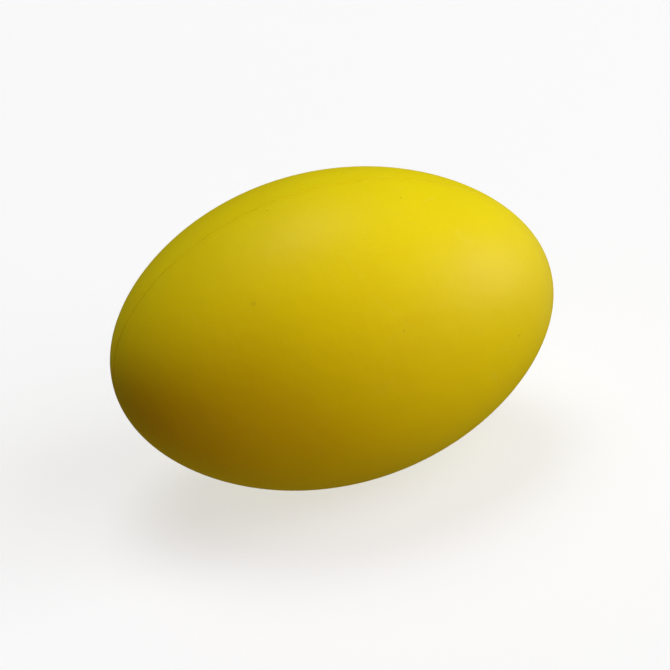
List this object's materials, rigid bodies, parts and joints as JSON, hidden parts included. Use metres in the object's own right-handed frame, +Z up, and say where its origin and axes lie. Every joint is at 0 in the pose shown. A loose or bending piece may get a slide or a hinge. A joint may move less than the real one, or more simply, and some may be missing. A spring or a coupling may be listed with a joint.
{
  "type": "egg shaker",
  "caption": "Hand percussion shaker: an egg of satin yellow plastic, moulded as two lengthwise half-shells and welded shut over loose steel shot.",
  "frame": {"origin": "centre of the egg, on its long axis and on the parting plane between the half-shells", "axes": "+X along the long axis towards the slimmer end, -Y towards the front half-shell, +Z up, with the egg lying on its belly"},
  "size_m": [0.058, 0.0398, 0.0398],
  "materials": {
    "shell": "satin",
    "weld": "satin",
    "shot": "tumbled"
  },
  "bodies": {
    "shell": {"front_shell": "shell", "back_shell": "shell", "weld_bead": "weld"},
    "shot_01": {"shot_01": "shot"},
    "shot_02": {"shot_02": "shot"},
    "shot_03": {"shot_03": "shot"},
    "shot_04": {"shot_04": "shot"},
    "shot_05": {"shot_05": "shot"},
    "shot_06": {"shot_06": "shot"},
    "shot_07": {"shot_07": "shot"},
    "shot_08": {"shot_08": "shot"},
    "shot_09": {"shot_09": "shot"},
    "shot_10": {"shot_10": "shot"},
    "shot_11": {"shot_11": "shot"},
    "shot_12": {"shot_12": "shot"},
    "shot_13": {"shot_13": "shot"},
    "shot_14": {"shot_14": "shot"},
    "shot_15": {"shot_15": "shot"},
    "shot_16": {"shot_16": "shot"},
    "shot_17": {"shot_17": "shot"},
    "shot_18": {"shot_18": "shot"},
    "shot_19": {"shot_19": "shot"},
    "shot_20": {"shot_20": "shot"},
    "shot_21": {"shot_21": "shot"},
    "shot_22": {"shot_22": "shot"},
    "shot_23": {"shot_23": "shot"},
    "shot_24": {"shot_24": "shot"},
    "shot_25": {"shot_25": "shot"},
    "shot_26": {"shot_26": "shot"},
    "shot_27": {"shot_27": "shot"},
    "shot_28": {"shot_28": "shot"},
    "shot_29": {"shot_29": "shot"},
    "shot_30": {"shot_30": "shot"},
    "shot_31": {"shot_31": "shot"},
    "shot_32": {"shot_32": "shot"},
    "shot_33": {"shot_33": "shot"},
    "shot_34": {"shot_34": "shot"},
    "shot_35": {"shot_35": "shot"},
    "shot_36": {"shot_36": "shot"},
    "shot_37": {"shot_37": "shot"},
    "shot_38": {"shot_38": "shot"},
    "shot_39": {"shot_39": "shot"},
    "shot_40": {"shot_40": "shot"},
    "shot_41": {"shot_41": "shot"},
    "shot_42": {"shot_42": "shot"},
    "shot_43": {"shot_43": "shot"},
    "shot_44": {"shot_44": "shot"},
    "shot_45": {"shot_45": "shot"},
    "shot_46": {"shot_46": "shot"},
    "shot_47": {"shot_47": "shot"},
    "shot_48": {"shot_48": "shot"},
    "shot_49": {"shot_49": "shot"},
    "shot_50": {"shot_50": "shot"},
    "shot_51": {"shot_51": "shot"},
    "shot_52": {"shot_52": "shot"},
    "shot_53": {"shot_53": "shot"},
    "shot_54": {"shot_54": "shot"},
    "shot_55": {"shot_55": "shot"}
  },
  "joints": [
    {"name": "shot_01_flight", "type": "slide", "parent": "shell", "child": "shot_01", "axis": [0, 0, 1], "range_m": [0, 0.02263]},
    {"name": "shot_02_flight", "type": "slide", "parent": "shell", "child": "shot_02", "axis": [0, 0, 1], "range_m": [0, 0.02461]},
    {"name": "shot_03_flight", "type": "slide", "parent": "shell", "child": "shot_03", "axis": [0, 0, 1], "range_m": [0, 0.0255]},
    {"name": "shot_04_flight", "type": "slide", "parent": "shell", "child": "shot_04", "axis": [0, 0, 1], "range_m": [0, 0.02541]},
    {"name": "shot_05_flight", "type": "slide", "parent": "shell", "child": "shot_05", "axis": [0, 0, 1], "range_m": [0, 0.02434]},
    {"name": "shot_06_flight", "type": "slide", "parent": "shell", "child": "shot_06", "axis": [0, 0, 1], "range_m": [0, 0.02219]},
    {"name": "shot_07_flight", "type": "slide", "parent": "shell", "child": "shot_07", "axis": [0, 0, 1], "range_m": [0, 0.02556]},
    {"name": "shot_08_flight", "type": "slide", "parent": "shell", "child": "shot_08", "axis": [0, 0, 1], "range_m": [0, 0.02775]},
    {"name": "shot_09_flight", "type": "slide", "parent": "shell", "child": "shot_09", "axis": [0, 0, 1], "range_m": [0, 0.02898]},
    {"name": "shot_10_flight", "type": "slide", "parent": "shell", "child": "shot_10", "axis": [0, 0, 1], "range_m": [0, 0.02932]},
    {"name": "shot_11_flight", "type": "slide", "parent": "shell", "child": "shot_11", "axis": [0, 0, 1], "range_m": [0, 0.02882]},
    {"name": "shot_12_flight", "type": "slide", "parent": "shell", "child": "shot_12", "axis": [0, 0, 1], "range_m": [0, 0.02745]},
    {"name": "shot_13_flight", "type": "slide", "parent": "shell", "child": "shot_13", "axis": [0, 0, 1], "range_m": [0, 0.02512]},
    {"name": "shot_14_flight", "type": "slide", "parent": "shell", "child": "shot_14", "axis": [0, 0, 1], "range_m": [0, 0.02273]},
    {"name": "shot_15_flight", "type": "slide", "parent": "shell", "child": "shot_15", "axis": [0, 0, 1], "range_m": [0, 0.02647]},
    {"name": "shot_16_flight", "type": "slide", "parent": "shell", "child": "shot_16", "axis": [0, 0, 1], "range_m": [0, 0.029]},
    {"name": "shot_17_flight", "type": "slide", "parent": "shell", "child": "shot_17", "axis": [0, 0, 1], "range_m": [0, 0.03057]},
    {"name": "shot_18_flight", "type": "slide", "parent": "shell", "child": "shot_18", "axis": [0, 0, 1], "range_m": [0, 0.03129]},
    {"name": "shot_19_flight", "type": "slide", "parent": "shell", "child": "shot_19", "axis": [0, 0, 1], "range_m": [0, 0.03122]},
    {"name": "shot_20_flight", "type": "slide", "parent": "shell", "child": "shot_20", "axis": [0, 0, 1], "range_m": [0, 0.03035]},
    {"name": "shot_21_flight", "type": "slide", "parent": "shell", "child": "shot_21", "axis": [0, 0, 1], "range_m": [0, 0.02865]},
    {"name": "shot_22_flight", "type": "slide", "parent": "shell", "child": "shot_22", "axis": [0, 0, 1], "range_m": [0, 0.02602]},
    {"name": "shot_23_flight", "type": "slide", "parent": "shell", "child": "shot_23", "axis": [0, 0, 1], "range_m": [0, 0.02222]},
    {"name": "shot_24_flight", "type": "slide", "parent": "shell", "child": "shot_24", "axis": [0, 0, 1], "range_m": [0, 0.02559]},
    {"name": "shot_25_flight", "type": "slide", "parent": "shell", "child": "shot_25", "axis": [0, 0, 1], "range_m": [0, 0.02859]},
    {"name": "shot_26_flight", "type": "slide", "parent": "shell", "child": "shot_26", "axis": [0, 0, 1], "range_m": [0, 0.03057]},
    {"name": "shot_27_flight", "type": "slide", "parent": "shell", "child": "shot_27", "axis": [0, 0, 1], "range_m": [0, 0.03168]},
    {"name": "shot_28_flight", "type": "slide", "parent": "shell", "child": "shot_28", "axis": [0, 0, 1], "range_m": [0, 0.032]},
    {"name": "shot_29_flight", "type": "slide", "parent": "shell", "child": "shot_29", "axis": [0, 0, 1], "range_m": [0, 0.03154]},
    {"name": "shot_30_flight", "type": "slide", "parent": "shell", "child": "shot_30", "axis": [0, 0, 1], "range_m": [0, 0.03029]},
    {"name": "shot_31_flight", "type": "slide", "parent": "shell", "child": "shot_31", "axis": [0, 0, 1], "range_m": [0, 0.0282]},
    {"name": "shot_32_flight", "type": "slide", "parent": "shell", "child": "shot_32", "axis": [0, 0, 1], "range_m": [0, 0.02512]},
    {"name": "shot_33_flight", "type": "slide", "parent": "shell", "child": "shot_33", "axis": [0, 0, 1], "range_m": [0, 0.02273]},
    {"name": "shot_34_flight", "type": "slide", "parent": "shell", "child": "shot_34", "axis": [0, 0, 1], "range_m": [0, 0.02647]},
    {"name": "shot_35_flight", "type": "slide", "parent": "shell", "child": "shot_35", "axis": [0, 0, 1], "range_m": [0, 0.029]},
    {"name": "shot_36_flight", "type": "slide", "parent": "shell", "child": "shot_36", "axis": [0, 0, 1], "range_m": [0, 0.03057]},
    {"name": "shot_37_flight", "type": "slide", "parent": "shell", "child": "shot_37", "axis": [0, 0, 1], "range_m": [0, 0.03129]},
    {"name": "shot_38_flight", "type": "slide", "parent": "shell", "child": "shot_38", "axis": [0, 0, 1], "range_m": [0, 0.03122]},
    {"name": "shot_39_flight", "type": "slide", "parent": "shell", "child": "shot_39", "axis": [0, 0, 1], "range_m": [0, 0.03035]},
    {"name": "shot_40_flight", "type": "slide", "parent": "shell", "child": "shot_40", "axis": [0, 0, 1], "range_m": [0, 0.02865]},
    {"name": "shot_41_flight", "type": "slide", "parent": "shell", "child": "shot_41", "axis": [0, 0, 1], "range_m": [0, 0.02602]},
    {"name": "shot_42_flight", "type": "slide", "parent": "shell", "child": "shot_42", "axis": [0, 0, 1], "range_m": [0, 0.02222]},
    {"name": "shot_43_flight", "type": "slide", "parent": "shell", "child": "shot_43", "axis": [0, 0, 1], "range_m": [0, 0.02556]},
    {"name": "shot_44_flight", "type": "slide", "parent": "shell", "child": "shot_44", "axis": [0, 0, 1], "range_m": [0, 0.02775]},
    {"name": "shot_45_flight", "type": "slide", "parent": "shell", "child": "shot_45", "axis": [0, 0, 1], "range_m": [0, 0.02898]},
    {"name": "shot_46_flight", "type": "slide", "parent": "shell", "child": "shot_46", "axis": [0, 0, 1], "range_m": [0, 0.02932]},
    {"name": "shot_47_flight", "type": "slide", "parent": "shell", "child": "shot_47", "axis": [0, 0, 1], "range_m": [0, 0.02882]},
    {"name": "shot_48_flight", "type": "slide", "parent": "shell", "child": "shot_48", "axis": [0, 0, 1], "range_m": [0, 0.02745]},
    {"name": "shot_49_flight", "type": "slide", "parent": "shell", "child": "shot_49", "axis": [0, 0, 1], "range_m": [0, 0.02512]},
    {"name": "shot_50_flight", "type": "slide", "parent": "shell", "child": "shot_50", "axis": [0, 0, 1], "range_m": [0, 0.02263]},
    {"name": "shot_51_flight", "type": "slide", "parent": "shell", "child": "shot_51", "axis": [0, 0, 1], "range_m": [0, 0.02461]},
    {"name": "shot_52_flight", "type": "slide", "parent": "shell", "child": "shot_52", "axis": [0, 0, 1], "range_m": [0, 0.0255]},
    {"name": "shot_53_flight", "type": "slide", "parent": "shell", "child": "shot_53", "axis": [0, 0, 1], "range_m": [0, 0.02541]},
    {"name": "shot_54_flight", "type": "slide", "parent": "shell", "child": "shot_54", "axis": [0, 0, 1], "range_m": [0, 0.02434]},
    {"name": "shot_55_flight", "type": "slide", "parent": "shell", "child": "shot_55", "axis": [0, 0, 1], "range_m": [0, 0.02219]}
  ]
}
